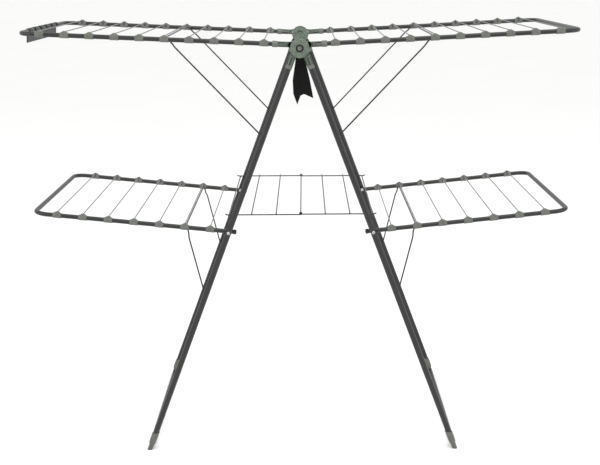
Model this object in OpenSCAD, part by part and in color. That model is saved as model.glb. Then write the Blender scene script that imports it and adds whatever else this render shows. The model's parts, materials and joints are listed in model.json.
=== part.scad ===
// Folding clothes drying rack: an A-frame of two leg frames hinged at two hubs,
// two upper wings, two lower wings, wire bails that prop the wings, and a
// hinged wire shelf between the legs.
// X runs across the rack, -Y is the front, Z is up, and the feet stand on Z = 0.

/* [Leg frames] */
// Height of the hub axis above the floor
hub_height = 1120; // [930:5:1350]
// Lean of each leg frame from the vertical, in degrees
leg_lean = 20.6; // [18.5:0.1:23]
// Distance between the centre lines of the front and rear legs
frame_depth = 574; // [478:1:690]
// Distance of a leg's centre line from the hub axis
leg_offset = 10; // [9.6:0.1:11]
// Outer diameter of the leg tubes
leg_dia = 16; // [13:0.1:19.5]
// Outer diameter of the bottom tubes
bottom_dia = 13; // [11:0.1:14]
// Wall of the leg and bottom tubes
leg_wall = 1; // [0.8:0.1:1.5]
// Height of a bottom tube's centre above the floor
bottom_tube_height = 8.5; // [8:0.5:12]

/* [Hubs] */
// Diameter of the round hub cover
cover_dia = 50; // [44:1:56]
// Thickness of the hub cover
cover_thick = 6; // [5:0.5:8]
// Diameter of the button at the centre of a cover
button_dia = 16; // [13:0.5:18]
// Diameter of the bolt through each hub
axle_dia = 8; // [6:0.1:9]
// Length of a leg socket along the leg
leg_socket_len = 36; // [30:1:44]
// Wall of the sockets that hold the legs
leg_socket_wall = 1.15; // [0.9:0.05:1.3]
// Distance of an upper wing's pivot from the hub axis, across
pivot_out = 22; // [21:0.5:24]
// Height of an upper wing's pivot above the hub axis
pivot_up = 8; // [7:0.5:10]
// Length of an upper wing's socket from its pivot
wing_socket_len = 49; // [42:1:58]

/* [Wings] */
// Length of an upper wing from its pivot to its end tube
upper_len = 703; // [600:1:840]
// Distance from the legs' centre lines in to the upper wings' long tubes
upper_inset = 12; // [11.5:0.1:13]
// Upward tilt of the upper wings, in degrees
upper_tilt = 2.65; // [1.5:0.05:4]
// Distance between neighbouring lines of an upper wing
upper_pitch = 64.4; // [52:0.1:66]
// Number of lines on an upper wing
upper_lines = 10; // [8:1:10]
// Length of a lower wing from its rivet to its end tube
lower_len = 527; // [500:1:550]
// Height of the rivet that a lower wing turns on
lower_height = 631; // [560:1:640]
// Upward tilt of the lower wings, in degrees
lower_tilt = 5.85; // [4.5:0.05:7]
// Distance between neighbouring lines of a lower wing
lower_pitch = 68.9; // [57:0.1:70]
// Number of lines on a lower wing
lower_lines = 7; // [5:1:7]
// Distance from a wing's end tube to its last line
end_margin = 53; // [46:1:66]
// Outer diameter of the wing tubes
wing_dia = 12; // [11:0.1:13]
// Wall of the wing tubes
wing_wall = 1; // [0.8:0.1:1.5]
// Bend radius of the wing corners
wing_bend = 36; // [28:1:44]
// Diameter of a drying line
line_dia = 2.8; // [2:0.1:3.2]
// Length of a line clip along the tube
clip_len = 23; // [18:1:26]
// Wall of a line clip round the tube
clip_wall = 1.3; // [1:0.1:1.6]

/* [Bails and shelf] */
// Wire diameter of the bails
bail_dia = 4; // [3.2:0.1:4.4]
// Distance of an upper bail's pivot below the hub axis
upper_bail_drop = 233; // [195:1:280]
// Height at which a lower bail is pivoted in the legs
lower_bail_height = 450; // [420:1:465]
// Height of the shelf's long wires
shelf_height = 677; // [660:1:690]
// Wire diameter of the shelf and of the rests that carry it
shelf_wire = 3.4; // [2.8:0.1:3.6]
// Distance between neighbouring cross wires of the shelf
shelf_pitch = 66; // [50:1:80]
// How far a rest stands out from the leg's centre line, across
rest_gap = 15.5; // [13:0.5:20]
// How far the shelf's free ends pass over their rests
shelf_overhang = 11; // [8:0.5:14]

/* [Hanger strip and strap] */
// Length of the hanger strip
strip_len = 336; // [275:1:400]
// Shift of the hanger strip towards the back
strip_shift = -12; // [-30:1:30]
// Depth of the hanger strip below the end tube's centre
strip_drop = 30; // [26:1:40]
// Number of hanger notches in the strip
strip_slots = 5; // [4:1:6]
// Width of the fabric strap
strap_width = 50; // [42:1:56]
// Length of the fabric strap
strap_len = 140; // [116:1:168]

/* [Fits] */
// Radial clearance of a pin in its hole
pin_gap = 0.1; // [0.05:0.01:0.1]
// Radial clearance of a tube in its socket, or a line in its clip
seat_gap = 0.05; // [0.03:0.01:0.08]
// Gap between pieces that move past each other
move_gap = 0.4; // [0.3:0.05:0.5]

/* [Hidden] */
$fn = 48;
slack = 0.02;
leg_r = leg_dia / 2;
wing_r = wing_dia / 2;
line_r = line_dia / 2;
bail_r = bail_dia / 2;
shelf_r = shelf_wire / 2;
bottom_r = bottom_dia / 2;
axle_r = axle_dia / 2;
frame_y = frame_depth / 2;
upper_y = frame_y - upper_inset;
lower_y = frame_y - leg_r - wing_r - clip_wall - move_gap;

// Side view of the right leg: directions along and square to it, and points on it
leg_dir = [sin(leg_lean), -cos(leg_lean)];
leg_out = [cos(leg_lean), sin(leg_lean)];
leg_top = [0, hub_height] + leg_out * leg_offset;
function leg_at(s) = leg_top + leg_dir * s;
function leg_s(z) = (leg_top[1] - z) / cos(leg_lean);
function xyz(p, y) = [p[0], y, p[1]];
foot_s = leg_s(0);

// Socket and plate sizes at the hub, measured from the front and rear leg planes
socket_start = 24;
socket_r = leg_r + leg_socket_wall;
socket_floor = 5;
plate_r = 13;
plate_thick = 7;
ear_r = 8;
inner_plate_y = frame_y - move_gap / 2 - plate_thick;
outer_plate_y = frame_y + move_gap / 2;
eye_thick = 6.8;
eye_y = inner_plate_y - move_gap - eye_thick;
cover_y = frame_y + socket_r + move_gap;
cover_boss_y = outer_plate_y + plate_thick + move_gap;
inner_cover_thick = 6;
inner_cover_y = eye_y - 3.2 - inner_cover_thick;
bolt_end = cover_y + 1;
pin_r = 2.5;
pin_head_r = 4.5;
pin_head = 1.6;
wing_sleeve_r = wing_r + 1.2;
wing_collar_r = wing_r + 2.3;
wing_collar_len = 13;
wing_head = 11;

// Wings in side view: pivot, direction along the wing and square to it
upper_pivot = [pivot_out, hub_height + pivot_up];
upper_dir = [cos(upper_tilt), sin(upper_tilt)];
upper_up = [-sin(upper_tilt), cos(upper_tilt)];
lower_pivot = leg_at(leg_s(lower_height));
lower_dir = [cos(lower_tilt), sin(lower_tilt)];
lower_up = [-sin(lower_tilt), cos(lower_tilt)];
line_h = wing_r + 3;
clip_top = wing_r + 5.6;
clip_peak = 8;
clip_in = wing_r + 1.5;
lower_tail = 13;
cap_len = 7.5;
cap_r = wing_r + 0.8;

// Bails: each stands under one line, with its legs stepping in below the tubes
bail_line_gap = 0.35;
bail_h = line_h - line_r - bail_r - bail_line_gap;
bail_jog = 24;
bail_jog_len = 10;
bail_bend = 16;
step_over = 0.15;
bail_leg_y = frame_y - leg_r - bail_r - 0.6;
upper_bail_line = 5;
lower_bail_line = 2;
upper_bail_pivot = leg_at(leg_s(hub_height - upper_bail_drop));
lower_bail_pivot = leg_at(leg_s(lower_bail_height));
bail_tail = 7;

// Shelf: two halves whose coils meet at the middle, on rests outside the legs
weld = 0.3;
eye_r = shelf_r + 1;
eye_lift = eye_r - shelf_r - 0.2;
rest_z = shelf_height - 2 * shelf_r - slack;
rest_out = round(leg_at(leg_s(rest_z))[0] + rest_gap);
shelf_cross = [for (i = [1:floor((rest_out - 40) / shelf_pitch)]) i * shelf_pitch];
left_shelf_y = lower_y + 1.2;
right_shelf_y = left_shelf_y - shelf_wire - 0.8;
rest_bend = 5;

// Feet
foot_sleeve_r = leg_r + 1.4;
foot_top = 60;
foot_step = 20;
toe_r = 6.6;
foot_plug = 30;
spigot_len = 24;
bottom_tube = leg_at(leg_s(bottom_tube_height));
bottom_end = frame_y - toe_r - 0.5;

strap_thick = 1.6;
strap_y = inner_cover_y - 1.2 - slack;
strap_top = hub_height - 9;
strap_hole_z = strap_top - 7;
strap_pin_r = 2;

rivet_r = 2.4;
rivet_head_r = 4.6;
rivet_head = 2.2;
ledge_thick = 3;
strip_wall = 1.8;

// ---------- helpers ----------

// Right side is drawn; side -1 mirrors it to the left
module on_side(side) {
    mirror([side < 0 ? 1 : 0, 0, 0])
        children();
}

// Rear end is drawn; end -1 mirrors it to the front
module on_end(end) {
    mirror([0, end < 0 ? 1 : 0, 0])
        children();
}

module rod(a, b, r) {
    v = b - a;
    translate(a)
        rotate([0, acos(v[2] / norm(v)), atan2(v[1], v[0])])
            cylinder(h = norm(v), r = r);
}

// Round bar through points in the XY plane; a stretch with no bend at either end is a
// pressed step, a little thicker than the bar
module wire(pts, r, bends) {
    n = len(pts);
    function along(i) = (pts[i + 1] - pts[i]) / norm(pts[i + 1] - pts[i]);
    function turn(i) = i == 0 || i == n - 1 ? 0 : acos(min(1, along(i - 1) * along(i)));
    function cut(i) = bends[i] * tan(turn(i) / 2);
    for (i = [0:n - 2]) {
        step = i > 0 && i < n - 2 && bends[i] == 0 && bends[i + 1] == 0;
        a = pts[i] + along(i) * (step ? -r : cut(i));
        b = pts[i + 1] - along(i) * (step ? -r : cut(i + 1));
        rod([a[0], a[1], 0], [b[0], b[1], 0], step ? r + step_over : r);
    }
    for (i = [1:n - 2])
        if (bends[i] > 0) {
            u = along(i - 1);
            v = along(i);
            side = u[0] * v[1] - u[1] * v[0] > 0 ? 1 : -1;
            c = pts[i] - u * cut(i) + side * [-u[1], u[0]] * bends[i];
            translate([c[0], c[1], 0])
                rotate([0, 0, atan2(u[1], u[0]) - side * 90 - (side < 0 ? turn(i) : 0)])
                    rotate_extrude(angle = turn(i))
                        translate([bends[i], 0])
                            circle(r = r);
        }
}

// Flat link between two round ends, in side view
module link(a, b, ra, rb) {
    v = b - a;
    d = norm(v);
    t = acos((ra - rb) / d);
    e = atan2(v[1], v[0]);
    translate(a)
        circle(r = ra);
    translate(b)
        circle(r = rb);
    polygon([a + ra * [cos(e + t), sin(e + t)], a + ra * [cos(e - t), sin(e - t)],
        b + rb * [cos(e - t), sin(e - t)], b + rb * [cos(e + t), sin(e + t)]]);
}

// Side-view outline in X and Z given a thickness from y0 towards the rear
module slab(y0, thick) {
    translate([0, y0 + thick, 0])
        rotate([90, 0, 0])
            linear_extrude(thick)
                children();
}

module across(p, y0, y1, r) {
    rod(xyz(p, y0), xyz(p, y1), r);
}

// ---------- leg frames ----------

module leg(side, end) {
    color("#464747")
    on_side(side)
        on_end(end)
            difference() {
                along_leg(socket_start + socket_floor, foot_s - foot_plug, leg_r);
                along_leg(socket_start, foot_s, leg_r - leg_wall);
                across(lower_pivot, frame_y - 20, frame_y + 20, rivet_r + seat_gap);
                across(upper_bail_pivot, frame_y - 20, frame_y, bail_r + pin_gap);
                across(lower_bail_pivot, frame_y - 20, frame_y, bail_r + pin_gap);
                rod([leg_at(leg_s(rest_z))[0], frame_y, rest_z], [rest_out, frame_y, rest_z], shelf_r + seat_gap);
            }
}

// Round bar along the leg's centre line
module along_leg(s0, s1, r) {
    rod(xyz(leg_at(s0), frame_y), xyz(leg_at(s1), frame_y), r);
}

module bottom_tube(side) {
    color("#464747")
    on_side(side)
        difference() {
            across(bottom_tube, -bottom_end, bottom_end, bottom_r);
            across(bottom_tube, -bottom_end - 1, bottom_end + 1, bottom_r - leg_wall);
        }
}

module foot(side, end) {
    color("#7c7e76")
    on_side(side)
        on_end(end)
            difference() {
                union() {
                    along_leg(foot_s - foot_top, foot_s - foot_step, foot_sleeve_r);
                    along_leg(foot_s - foot_step - 2, foot_s + 8, toe_r);
                    across(bottom_tube, frame_y, frame_y - spigot_len, bottom_r - leg_wall - seat_gap);
                }
                along_leg(foot_s - foot_top - 1, foot_s - foot_plug + slack, leg_r + seat_gap);
                foot_mouth();
                translate([leg_at(foot_s)[0] - 30, frame_y - 40, -30])
                    cube([60, 60, 30]);
            }
}

// Slanted cut that leaves the outer side of a foot's mouth higher
module foot_mouth() {
    mouth = leg_at(foot_s - foot_top + 9);
    translate([mouth[0], frame_y - 20, mouth[1]])
        rotate([0, -leg_lean - 32, 0])
            translate([-40, 0, 0])
                cube([60, 40, 30]);
}

// Socket that holds a leg, with its plate on the axle and its ear for the wing pivot
module leg_socket(side, end) {
    plate_y = side > 0 ? inner_plate_y : outer_plate_y;
    hub = [0, hub_height];
    color("#77807a")
    on_side(side)
        on_end(end)
            difference() {
                union() {
                    along_leg(socket_start, socket_start + leg_socket_len, socket_r);
                    slab(plate_y, plate_thick) {
                        link(hub, leg_at(socket_start + 2), plate_r, socket_r);
                        link(hub, upper_pivot, plate_r, ear_r);
                    }
                    across(upper_pivot, inner_plate_y, plate_y + plate_thick, ear_r);
                }
                along_leg(socket_start + socket_floor - slack, socket_start + leg_socket_len + 1,
                    leg_r + seat_gap);
                across(hub, inner_plate_y - 1, frame_y + 20, axle_r + pin_gap);
                across(upper_pivot, inner_plate_y - 1, frame_y + 20, pin_r + seat_gap);
            }
}

module hub_cover(end) {
    boss_r = 12;
    groove_r = button_dia / 2 + 1.6;
    color("#717f70")
    on_end(end)
        translate([0, cover_boss_y, hub_height])
            rotate([-90, 0, 0])
                difference() {
                    union() {
                        cylinder(h = cover_y - cover_boss_y + 1, r = boss_r);
                        translate([0, 0, cover_y - cover_boss_y])
                            rotate_extrude()
                                polygon([[0, 0], [cover_dia / 2, 0], [cover_dia / 2, cover_thick - 2.5],
                                    [cover_dia / 2 - 2.5, cover_thick], [0, cover_thick]]);
                    }
                    translate([0, 0, -1])
                        cylinder(h = 40, r = axle_r + seat_gap);
                    translate([0, 0, cover_y - cover_boss_y + cover_thick - 2])
                        cylinder(h = 10, r = groove_r);
                }
}

// Disc that closes the inner side of a hub, with two raised chevrons
module inner_cover(end) {
    chevron = [[-8, 0], [0, 5], [8, 0], [8, 3], [0, 8], [-8, 3]];
    color("#66705f")
    on_end(end)
        difference() {
            union() {
                across([0, hub_height], inner_cover_y, inner_cover_y + inner_cover_thick, cover_dia / 2 - 2);
                across([0, hub_height], inner_cover_y, inner_plate_y - move_gap, plate_r - 3);
                for (z = [-17, 6])
                    translate([0, 0, hub_height + z])
                        slab(inner_cover_y - 1.2, 2)
                            polygon(chevron);
            }
            across([0, hub_height], inner_cover_y + 2 - slack, frame_y, axle_r + seat_gap);
            if (end < 0)
                across([0, strap_hole_z], inner_cover_y - 3, inner_cover_y + 4, strap_pin_r + seat_gap);
        }
}

module hub_bolt(end) {
    color("#8a8d8c")
    on_end(end)
        across([0, hub_height], inner_cover_y + 2, bolt_end, axle_r);
}

module hub_buttons() {
    r = button_dia / 2;
    floor_y = cover_y + cover_thick - 2 + slack;
    stem = floor_y - bolt_end - slack;
    color("#7e8b7c")
    for (end = [-1, 1])
        on_end(end)
            translate([0, floor_y, hub_height])
                rotate([-90, 0, 0])
                    rotate_extrude()
                        polygon([[0, -stem], [axle_r, -stem], [axle_r, 0], [r, 0], [r, 1], [r - 1.2, 2.2], [0, 2.6]]);
}

// Pins that the upper wings turn on, with a head on the inner side
module pivot_pins(side) {
    tail = (side > 0 ? inner_plate_y : outer_plate_y) + plate_thick;
    color("#9a9c9a")
    on_side(side)
        for (end = [-1, 1])
            on_end(end) {
                across(upper_pivot, eye_y - 0.2, tail, pin_r);
                across(upper_pivot, eye_y - 0.2 - pin_head, eye_y - 0.2, pin_head_r);
            }
}

// Rivets that the lower wings turn on, through the legs and the wing tubes
module wing_rivets(side) {
    head_y = frame_y + leg_r + slack;
    tail_y = lower_y - wing_r - move_gap / 2;
    color("#c4c6c6")
    on_side(side)
        for (end = [-1, 1])
            on_end(end) {
                across(lower_pivot, tail_y - rivet_head / 2, head_y + rivet_head / 2, rivet_r);
                across(lower_pivot, lower_y + wing_r + 0.2, frame_y - leg_r - 0.1, rivet_head_r);
                translate(xyz(lower_pivot, head_y))
                    rotate([-90, 0, 0])
                        rivet_dome();
                translate(xyz(lower_pivot, tail_y))
                    rotate([90, 0, 0])
                        rivet_dome();
            }
}

module rivet_dome() {
    rotate_extrude()
        polygon([[0, 0], [rivet_head_r, 0], [rivet_head_r - 0.7, rivet_head * 0.6],
            [rivet_head_r - 2.2, rivet_head], [0, rivet_head]]);
}

// ---------- shelf ----------

module shelf_rest(side) {
    hole_x = round(leg_at(leg_s(rest_z))[0] + leg_r - 1);
    color("#55585a")
    on_side(side)
        translate([0, 0, rest_z])
            wire([[hole_x, -frame_y], [rest_out, -frame_y], [rest_out, frame_y], [hole_x, frame_y]],
                shelf_r, [0, rest_bend, rest_bend, 0]);
}

// One half of the shelf: two long wires that end in rolled eyes, and cross wires over
// them; the right half carries the wire at the middle
module shelf_half(side) {
    wire_y = side < 0 ? left_shelf_y : right_shelf_y;
    over = shelf_height + 2 * shelf_r - weld;
    color("#606365")
    on_side(side) {
        for (end = [-1, 1])
            on_end(end) {
                rod([0, wire_y, shelf_height], [rest_out + shelf_overhang, wire_y, shelf_height], shelf_r);
                across([0, shelf_height + eye_lift], wire_y - shelf_r - 0.2, wire_y + shelf_r + 0.2, eye_r);
            }
        for (x = shelf_cross)
            rod([x, -wire_y - shelf_r, over], [x, wire_y + shelf_r, over], shelf_r);
        if (side > 0)
            rod([0, -wire_y, shelf_height + eye_lift], [0, wire_y, shelf_height + eye_lift], shelf_r);
    }
}

// ---------- wings ----------

// Places children in a wing's own frame: X along the wing from its pivot, Z square to it
module in_upper(side) {
    on_side(side)
        translate(xyz(upper_pivot, 0))
            rotate([0, -upper_tilt, 0])
                children();
}

module in_lower(side) {
    on_side(side)
        translate(xyz(lower_pivot, 0))
            rotate([0, -lower_tilt, 0])
                children();
}

function upper_line_x(i) = upper_len - end_margin - (upper_lines - i) * upper_pitch;
function lower_line_x(i) = lower_len - lower_end_margin - (lower_lines - i) * lower_pitch;
lower_end_margin = end_margin + 10;

// U-shaped tube, open towards the pivot
module wing_tube(start, length, y) {
    module path(r, more) {
        wire([[start - more, -y], [length, -y], [length, y], [start - more, y]],
            r, [0, wing_bend, wing_bend, 0]);
    }
    difference() {
        path(wing_r, 0);
        path(wing_r - wing_wall, 1);
    }
}

module upper_tube(side) {
    color("#454646")
    in_upper(side)
        wing_tube(wing_head + 5 + slack, upper_len, upper_y);
}

module lower_tube(side) {
    color("#454646")
    in_lower(side)
        difference() {
            wing_tube(-lower_tail, lower_len, lower_y);
            for (end = [-1, 1])
                on_end(end)
                    across([0, 0], lower_y - 20, lower_y + 20, rivet_r + pin_gap);
        }
}

// Saddle clip: a sleeve round the tube with a peak that holds a line's end
module clip(y) {
    half = clip_len / 2;
    translate([0, y, 0])
        difference() {
            union() {
                translate([-half, 0, 0])
                    rotate([0, 90, 0])
                        cylinder(h = clip_len, r = wing_r + clip_wall);
                slab(-clip_in, 2 * clip_in - 1.5)
                    polygon([[-half, 0], [half, 0], [half, wing_r - 1], [clip_peak / 2, clip_top],
                        [-clip_peak / 2, clip_top], [-half, wing_r - 1]]);
            }
            translate([-half - 1, 0, 0])
                rotate([0, 90, 0])
                    cylinder(h = clip_len + 2, r = wing_r + seat_gap);
            across([0, line_h], -20, 2, line_r + seat_gap);
        }
}

module clips(xs, y) {
    for (x = xs, end = [-1, 1])
        translate([x, 0, 0])
            on_end(end)
                clip(y);
}

module lines(xs, y) {
    for (x = xs)
        translate([x, 0, 0])
            across([0, line_h], -y - 1, y + 1, line_r);
}

upper_xs = [for (i = [1:upper_lines]) upper_line_x(i)];
lower_xs = [for (i = [1:lower_lines]) lower_line_x(i)];

module upper_clips(side) {
    color("#868f86")
    in_upper(side)
        clips(upper_xs, upper_y);
}

module upper_line_set(side) {
    color("#b4b6b5")
    in_upper(side)
        lines(upper_xs, upper_y);
}

module lower_clips(side) {
    color("#868f86")
    in_lower(side)
        clips(lower_xs, lower_y);
}

module lower_line_set(side) {
    color("#b4b6b5")
    in_lower(side)
        lines(lower_xs, lower_y);
}

// Black plugs in the open ends of a lower wing's tube
module lower_caps(side) {
    color("#151515")
    in_lower(side)
        for (end = [-1, 1])
            on_end(end) {
                rod([-lower_tail - cap_len, lower_y, 0], [-lower_tail - slack, lower_y, 0], cap_r);
                rod([-lower_tail - 1, lower_y, 0], [-lower_tail + 6, lower_y, 0], wing_r - wing_wall - seat_gap);
            }
}

// Socket that holds an upper wing tube, with an eye on the pivot pin
module upper_socket(side, end) {
    color("#7b857b")
    in_upper(side)
        on_end(end)
            difference() {
                union() {
                    slab(eye_y, eye_thick)
                        link([0, 0], [wing_head + 2, 0], ear_r, wing_sleeve_r - 0.6);
                    rod([wing_head, upper_y, 0], [wing_socket_len, upper_y, 0], wing_sleeve_r);
                    rod([wing_socket_len - wing_collar_len, upper_y, 0], [wing_socket_len, upper_y, 0],
                        wing_collar_r);
                }
                rod([wing_head + 5, upper_y, 0], [wing_socket_len + 1, upper_y, 0], wing_r + seat_gap);
                across([0, 0], eye_y - 1, eye_y + eye_thick + 1, pin_r + pin_gap);
            }
}

// Strip clipped over the left wing's end tube: a hanging plate, and a cover with
// notches that keep coat hangers apart
module hanger_strip() {
    notch_pitch = strip_len / (strip_slots + 0.3);
    notch_len = notch_pitch * 0.62;
    cover_r = wing_r + strip_wall;
    face_x = upper_len + 1;
    color("#4a524f")
    in_upper(-1)
        translate([0, strip_shift, 0])
            difference() {
                union() {
                    across([upper_len, 0], -strip_len / 2, strip_len / 2, cover_r);
                    translate([face_x, -strip_len / 2, -strip_drop])
                        cube([ledge_thick, strip_len, strip_drop]);
                }
                across([upper_len, 0], -strip_len, strip_len, wing_r + seat_gap);
                translate([upper_len - 20, -strip_len, -20])
                    cube([20, 2 * strip_len, 17]);
                for (i = [0:strip_slots - 1])
                    translate([upper_len - 10, (i - (strip_slots - 1) / 2) * notch_pitch - notch_len / 2, -6])
                        cube([12, notch_len, 20]);
            }
}

// ---------- bails ----------

// Wire bail: ends pivoted in the legs, legs that step inwards below the wing's
// tubes, and a cross bar under one of the wing's lines
module bail(pivot, tip, tube_y) {
    function whole(x) = round(x * 50) / 50;
    v = tip - pivot;
    length = whole(norm(v));
    in_y = whole(tube_y - clip_in - bail_r - 1.2);
    leg_y = whole(bail_leg_y);
    x2 = length - bail_jog - bail_jog_len;
    x3 = length - bail_jog;
    end_y = leg_y + bail_tail;
    half = [[0, end_y], [0, leg_y], [x2, leg_y], [x3, in_y], [length, in_y]];
    pts = concat([for (p = half) [p[0], -p[1]]], [for (i = [4:-1:0]) half[i]]);
    translate(xyz(pivot, 0))
        rotate([0, -atan2(v[1], v[0]), 0])
            wire(pts, bail_r, [0, bail_r + 1, 0, 0, bail_bend, bail_bend, 0, 0, bail_r + 1, 0]);
}

module upper_bail(side) {
    tip = upper_pivot + upper_dir * (upper_line_x(upper_bail_line) - 3) + upper_up * bail_h;
    color("#3f4142")
    on_side(side)
        bail(upper_bail_pivot, tip, upper_y);
}

module lower_bail(side) {
    tip = lower_pivot + lower_dir * (lower_line_x(lower_bail_line) - 3) + lower_up * bail_h;
    color("#3f4142")
    on_side(side)
        bail(lower_bail_pivot, tip, lower_y);
}

// ---------- strap ----------

// Fabric strap that hangs behind the front hub, widening to a notched end
module strap() {
    low = strap_top - strap_len;
    half = strap_width / 2;
    color("#121311")
    difference() {
        translate([0, -strap_y, 0])
            slab(0, strap_thick)
                polygon([[-9, strap_top], [-12, strap_top - 30], [-half * 0.76, low + 65], [-half * 0.7, low + 28],
                    [-half * 0.3, low], [half * 0.15, low + 24], [half * 0.55, low + 28], [half * 1.4, low + 17],
                    [half * 1.05, low + 64], [half * 0.68, low + 104], [10, strap_top]]);
        across([0, strap_hole_z], -strap_y - 2, -strap_y + 5, strap_pin_r + 0.3);
    }
}

// Rivet that holds the strap on the front hub's inner cover
module strap_rivet() {
    head_y = strap_y - strap_thick - slack;
    color("#8a8d8c")
    on_end(-1) {
        across([0, strap_hole_z], head_y - 1.4, inner_cover_y + 3.5, strap_pin_r);
        across([0, strap_hole_z], head_y - 1.4, head_y, strap_pin_r + 2.5);
    }
}

// ---------- parts ----------

leg(1, -1);  // right_front_leg
leg(1, 1);  // right_rear_leg
leg(-1, -1);  // left_front_leg
leg(-1, 1);  // left_rear_leg
bottom_tube(1);  // right_bottom_tube
bottom_tube(-1);  // left_bottom_tube
foot(1, -1);  // right_front_foot
foot(1, 1);  // right_rear_foot
foot(-1, -1);  // left_front_foot
foot(-1, 1);  // left_rear_foot
leg_socket(1, -1);  // right_front_leg_socket
leg_socket(1, 1);  // right_rear_leg_socket
leg_socket(-1, -1);  // left_front_leg_socket
leg_socket(-1, 1);  // left_rear_leg_socket
hub_cover(-1);  // front_hub_cover
hub_cover(1);  // rear_hub_cover
inner_cover(-1);  // front_inner_cover
inner_cover(1);  // rear_inner_cover
hub_bolt(-1);  // front_hub_bolt
hub_bolt(1);  // rear_hub_bolt
hub_buttons();
pivot_pins(1);  // right_pivot_pins
pivot_pins(-1);  // left_pivot_pins
wing_rivets(1);  // right_wing_rivets
wing_rivets(-1);  // left_wing_rivets
shelf_rest(1);  // right_shelf_rest
shelf_rest(-1);  // left_shelf_rest
shelf_half(1);  // right_shelf
shelf_half(-1);  // left_shelf
strap();
strap_rivet();
upper_tube(1);  // right_upper_tube
upper_clips(1);  // right_upper_clips
upper_line_set(1);  // right_upper_lines
upper_socket(1, -1);  // right_upper_front_socket
upper_socket(1, 1);  // right_upper_rear_socket
upper_tube(-1);  // left_upper_tube
upper_clips(-1);  // left_upper_clips
upper_line_set(-1);  // left_upper_lines
upper_socket(-1, -1);  // left_upper_front_socket
upper_socket(-1, 1);  // left_upper_rear_socket
hanger_strip();
lower_tube(1);  // right_lower_tube
lower_clips(1);  // right_lower_clips
lower_line_set(1);  // right_lower_lines
lower_caps(1);  // right_lower_caps
lower_tube(-1);  // left_lower_tube
lower_clips(-1);  // left_lower_clips
lower_line_set(-1);  // left_lower_lines
lower_caps(-1);  // left_lower_caps
upper_bail(1);  // right_upper_bail
upper_bail(-1);  // left_upper_bail
lower_bail(1);  // right_lower_bail
lower_bail(-1);  // left_lower_bail
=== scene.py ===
# %% [markdown]
# # A folding clothes drying rack
# The rack is an A-frame of steel tubes with two upper wings, two lower wings, wire props
# and a wire shelf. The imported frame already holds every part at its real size. Each step
# below turns one of them into a finished piece, in metres, exactly where the frame has it.

# %% Load the frame
import json
import math
import bpy
import bmesh
from mathutils import Matrix, Vector


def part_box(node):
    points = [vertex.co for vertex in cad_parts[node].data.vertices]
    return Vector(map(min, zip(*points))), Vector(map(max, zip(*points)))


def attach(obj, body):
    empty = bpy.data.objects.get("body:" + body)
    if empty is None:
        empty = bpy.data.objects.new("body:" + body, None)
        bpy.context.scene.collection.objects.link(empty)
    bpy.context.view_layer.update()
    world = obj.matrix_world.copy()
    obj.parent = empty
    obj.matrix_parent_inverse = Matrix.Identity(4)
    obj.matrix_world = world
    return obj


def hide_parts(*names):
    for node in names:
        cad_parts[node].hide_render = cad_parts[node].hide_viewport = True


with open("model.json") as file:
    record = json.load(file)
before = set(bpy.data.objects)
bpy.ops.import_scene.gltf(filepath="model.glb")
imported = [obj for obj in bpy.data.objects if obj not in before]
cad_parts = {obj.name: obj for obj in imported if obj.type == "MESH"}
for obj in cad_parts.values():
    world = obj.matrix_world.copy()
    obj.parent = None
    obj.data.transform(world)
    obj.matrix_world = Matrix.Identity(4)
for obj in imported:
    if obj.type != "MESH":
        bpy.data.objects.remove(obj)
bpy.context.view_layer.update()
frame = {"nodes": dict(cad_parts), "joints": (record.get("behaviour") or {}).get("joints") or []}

MM = 0.001

# %% [markdown]
# ## Sizes
# Joint positions say where the rack turns, and the node boxes say how thick its tubes are.
# Everything that stands on those is worked out here, so a piece can't drift from the frame.

# %% Points and sizes of the rack
joints = {j["name"]: Vector(j["pos_m"]) for j in frame["joints"]}
HUB = joints["hub_fold"]
WING = joints["right_upper_wing_fold"]
RIVET = joints["right_lower_wing_fold"]
HIGH_BAIL = joints["right_upper_bail_fold"]
LOW_BAIL = joints["right_lower_bail_fold"]
REST = joints["right_shelf_fold"]

leg_low, leg_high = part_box("right_rear_leg")
LEG_Y = (leg_low[1] + leg_high[1]) / 2
LEG_R = (leg_high[1] - leg_low[1]) / 2
LEG_DIR = (LOW_BAIL - HIGH_BAIL).normalized()
LEG_OUT = Vector((-LEG_DIR.z, 0, LEG_DIR.x))
LEG_OFFSET = 10 * MM
LEG_TOP = HUB + LEG_OUT * LEG_OFFSET

WING_R = 6 * MM
UPPER_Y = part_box("right_upper_tube")[1][1] - WING_R
LOWER_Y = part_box("right_lower_tube")[1][1] - WING_R
UPPER_TILT = math.radians(2.65)
LOWER_TILT = math.radians(5.85)
UPPER_LEN, LOWER_LEN = 703 * MM, 527 * MM
UPPER_FIRST, UPPER_PITCH, UPPER_COUNT = 70.4 * MM, 64.4 * MM, 10
LOWER_FIRST, LOWER_PITCH, LOWER_COUNT = 50.6 * MM, 68.9 * MM, 7
WING_BEND = 36 * MM
LINE_R = 1.4 * MM
LINE_H = WING_R + 3 * MM
BAIL_R = 2 * MM
WIRE_R = 1.7 * MM


def leg_point(s):
    """A point on the right leg's centre line, s down from its top."""
    return LEG_TOP + LEG_DIR * s


FOOT_S = LEG_TOP.z / -LEG_DIR.z
print("leg length", round(FOOT_S, 4), "m, leg planes at", round(LEG_Y, 4))

# %% [markdown]
# ## Camera
# A long lens from just above the rack's own height shows the wings as thin slanting frames.
# It comes first, so that each new piece can be judged in the view that matters most.

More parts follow.
